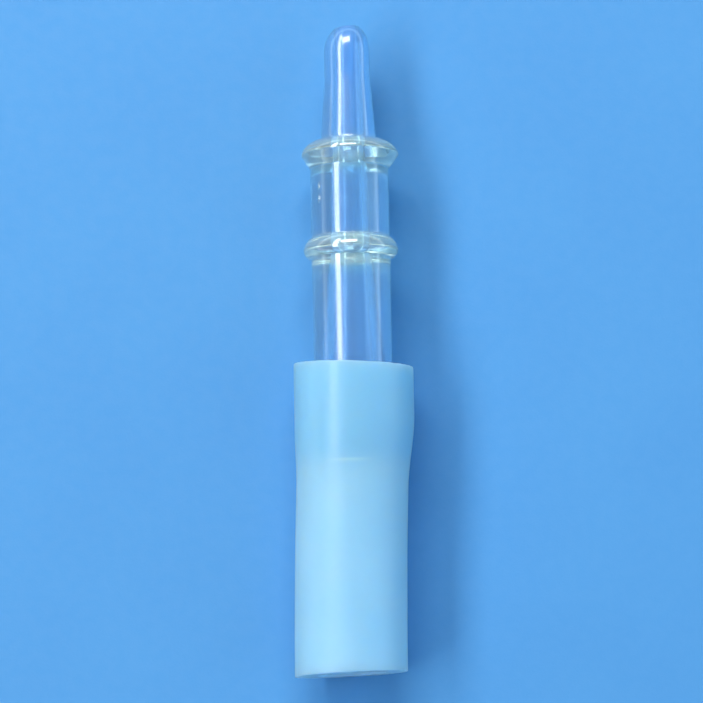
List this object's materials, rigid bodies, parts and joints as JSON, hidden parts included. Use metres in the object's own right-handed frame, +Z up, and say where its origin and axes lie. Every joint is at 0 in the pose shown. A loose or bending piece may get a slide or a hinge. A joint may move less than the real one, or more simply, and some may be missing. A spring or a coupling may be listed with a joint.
{
  "type": "saliva ejector tip",
  "caption": "Clear tapered suction nozzle with two retaining beads and a through bore, its barrel pushed into a short milky soft-tube sleeve that takes the suction hose.",
  "frame": {"origin": "on the floor under the middle of the part as it lies on its side: x = 0 on the part's axis, y = 0 at half its length, z = 0 at the underside of the sleeve's stretched end", "axes": "+Y along the part's axis toward the nose, +Z up"},
  "size_m": [0.0106, 0.0582, 0.0107],
  "materials": {
    "clear_plastic": "clear, polished, faint yellow-green where thick",
    "silicone": "milky, translucent, satin"
  },
  "bodies": {
    "nozzle": {"nozzle": "clear_plastic"},
    "sleeve": {"sleeve": "silicone"}
  },
  "joints": [
    {"name": "sleeve_slide", "type": "slide", "parent": "nozzle", "child": "sleeve", "axis": [0, -1, 0], "range_m": [0, 0.012]}
  ]
}
